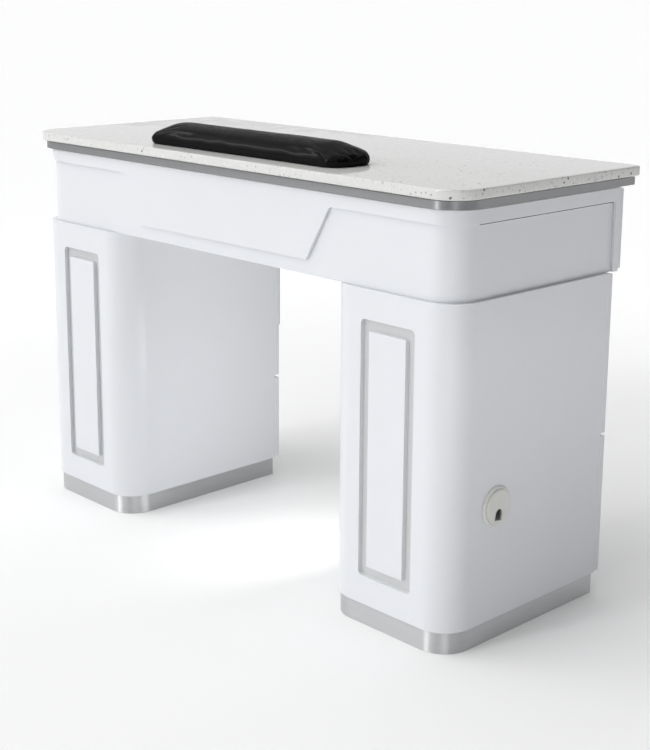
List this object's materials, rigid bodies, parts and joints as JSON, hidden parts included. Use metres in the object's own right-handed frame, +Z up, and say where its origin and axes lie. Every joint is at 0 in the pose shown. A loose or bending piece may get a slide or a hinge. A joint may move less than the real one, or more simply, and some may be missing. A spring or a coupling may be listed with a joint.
{
  "type": "manicure table",
  "caption": "White manicure table with a quartz slab top, steel trim, panelled pedestals with rear drawers and doors, a cable outlet and a black vinyl armrest.",
  "frame": {"origin": "on the floor, under the middle of the slab", "axes": "+Z up; +X along the length, to the client's right; +Y from the client's side to the technician's side, where the drawers and doors open"},
  "size_m": [1.18, 0.4912, 0.8223],
  "materials": {
    "quartz": "polished pale engineered quartz with fine grey specks",
    "white_lacquer": "satin white lacquer on fibreboard",
    "brushed_steel": "fine horizontal brushing",
    "white_melamine": "matt white melamine board",
    "plywood": "clear sealed birch plywood",
    "zinc_steel": "zinc plated sheet steel",
    "ivory_plastic": "moulded, slightly glossy",
    "black_vinyl": "black upholstery vinyl with a fine grain"
  },
  "bodies": {
    "table": {"quartz_top": "quartz", "sub_top_board": "white_melamine", "steel_trim_band": "brushed_steel", "apron_shell": "white_lacquer", "fascia": "white_lacquer", "apron_floor": "white_melamine", "apron_divider_left": "white_melamine", "apron_divider_right": "white_melamine", "left_pedestal_shell": "white_lacquer", "left_pedestal_floor": "white_melamine", "left_middle_board": "white_melamine", "left_plinth_skirt": "brushed_steel", "left_plinth_core": "plywood", "right_pedestal_shell": "white_lacquer", "right_pedestal_floor": "white_melamine", "right_middle_board": "white_melamine", "right_plinth_skirt": "brushed_steel", "right_plinth_core": "plywood", "top_left_drawer_rail": "zinc_steel", "top_centre_drawer_rail": "zinc_steel", "top_right_drawer_rail": "zinc_steel", "right_drawer_rail": "zinc_steel", "left_drawer_rail": "zinc_steel", "left_door_lower_hinge_frame_leaf": "zinc_steel", "left_door_upper_hinge_frame_leaf": "zinc_steel", "right_door_lower_hinge_frame_leaf": "zinc_steel", "right_door_upper_hinge_frame_leaf": "zinc_steel", "outlet_liner": "ivory_plastic"},
    "top_left_drawer": {"top_left_drawer_front": "white_lacquer", "top_left_drawer_box": "plywood", "top_left_drawer_guide": "zinc_steel", "top_left_drawer_pull": "brushed_steel"},
    "top_centre_drawer": {"top_centre_drawer_front": "white_lacquer", "top_centre_drawer_box": "plywood", "top_centre_drawer_guide": "zinc_steel", "top_centre_drawer_pull": "brushed_steel"},
    "top_right_drawer": {"top_right_drawer_front": "white_lacquer", "top_right_drawer_box": "plywood", "top_right_drawer_guide": "zinc_steel", "top_right_drawer_pull": "brushed_steel"},
    "right_drawer": {"right_drawer_front": "white_lacquer", "right_drawer_box": "plywood", "right_drawer_guide": "zinc_steel", "right_drawer_pull": "brushed_steel"},
    "left_drawer": {"left_drawer_front": "white_lacquer", "left_drawer_box": "plywood", "left_drawer_guide": "zinc_steel", "left_drawer_pull": "brushed_steel"},
    "left_door": {"left_door": "white_lacquer", "left_door_lower_hinge_door_leaf": "zinc_steel", "left_door_upper_hinge_door_leaf": "zinc_steel", "left_door_pull": "brushed_steel"},
    "right_door": {"right_door": "white_lacquer", "right_door_lower_hinge_door_leaf": "zinc_steel", "right_door_upper_hinge_door_leaf": "zinc_steel", "right_door_pull": "brushed_steel"},
    "outlet_cap": {"outlet_cap": "ivory_plastic"},
    "armrest": {"armrest_pad": "black_vinyl", "armrest_base": "plywood"}
  },
  "joints": [
    {"name": "top_left_drawer_slide", "type": "slide", "parent": "table", "child": "top_left_drawer", "axis": [0, 1, 0], "range_m": [0, 0.26]},
    {"name": "top_centre_drawer_slide", "type": "slide", "parent": "table", "child": "top_centre_drawer", "axis": [0, 1, 0], "range_m": [0, 0.26]},
    {"name": "top_right_drawer_slide", "type": "slide", "parent": "table", "child": "top_right_drawer", "axis": [0, 1, 0], "range_m": [0, 0.26]},
    {"name": "right_drawer_slide", "type": "slide", "parent": "table", "child": "right_drawer", "axis": [0, 1, 0], "range_m": [0, 0.25]},
    {"name": "left_drawer_slide", "type": "slide", "parent": "table", "child": "left_drawer", "axis": [0, 1, 0], "range_m": [0, 0.25]},
    {"name": "left_door_hinge", "type": "hinge", "parent": "table", "child": "left_door", "pos_m": [-0.5835, 0.1755, 0.4125], "axis": [0, 0, 1], "range_deg": [0, 110]},
    {"name": "right_door_hinge", "type": "hinge", "parent": "table", "child": "right_door", "pos_m": [0.2915, 0.1755, 0.1695], "axis": [0, 0, 1], "range_deg": [0, 110]},
    {"name": "outlet_cap_turn", "type": "hinge", "parent": "table", "child": "outlet_cap", "pos_m": [0.58, -0.112, 0.241], "axis": [1, 0, 0], "continuous": true},
    {"name": "armrest_lift", "type": "slide", "parent": "table", "child": "armrest", "axis": [0, 0, 1], "range_m": [0, 0.1]}
  ]
}
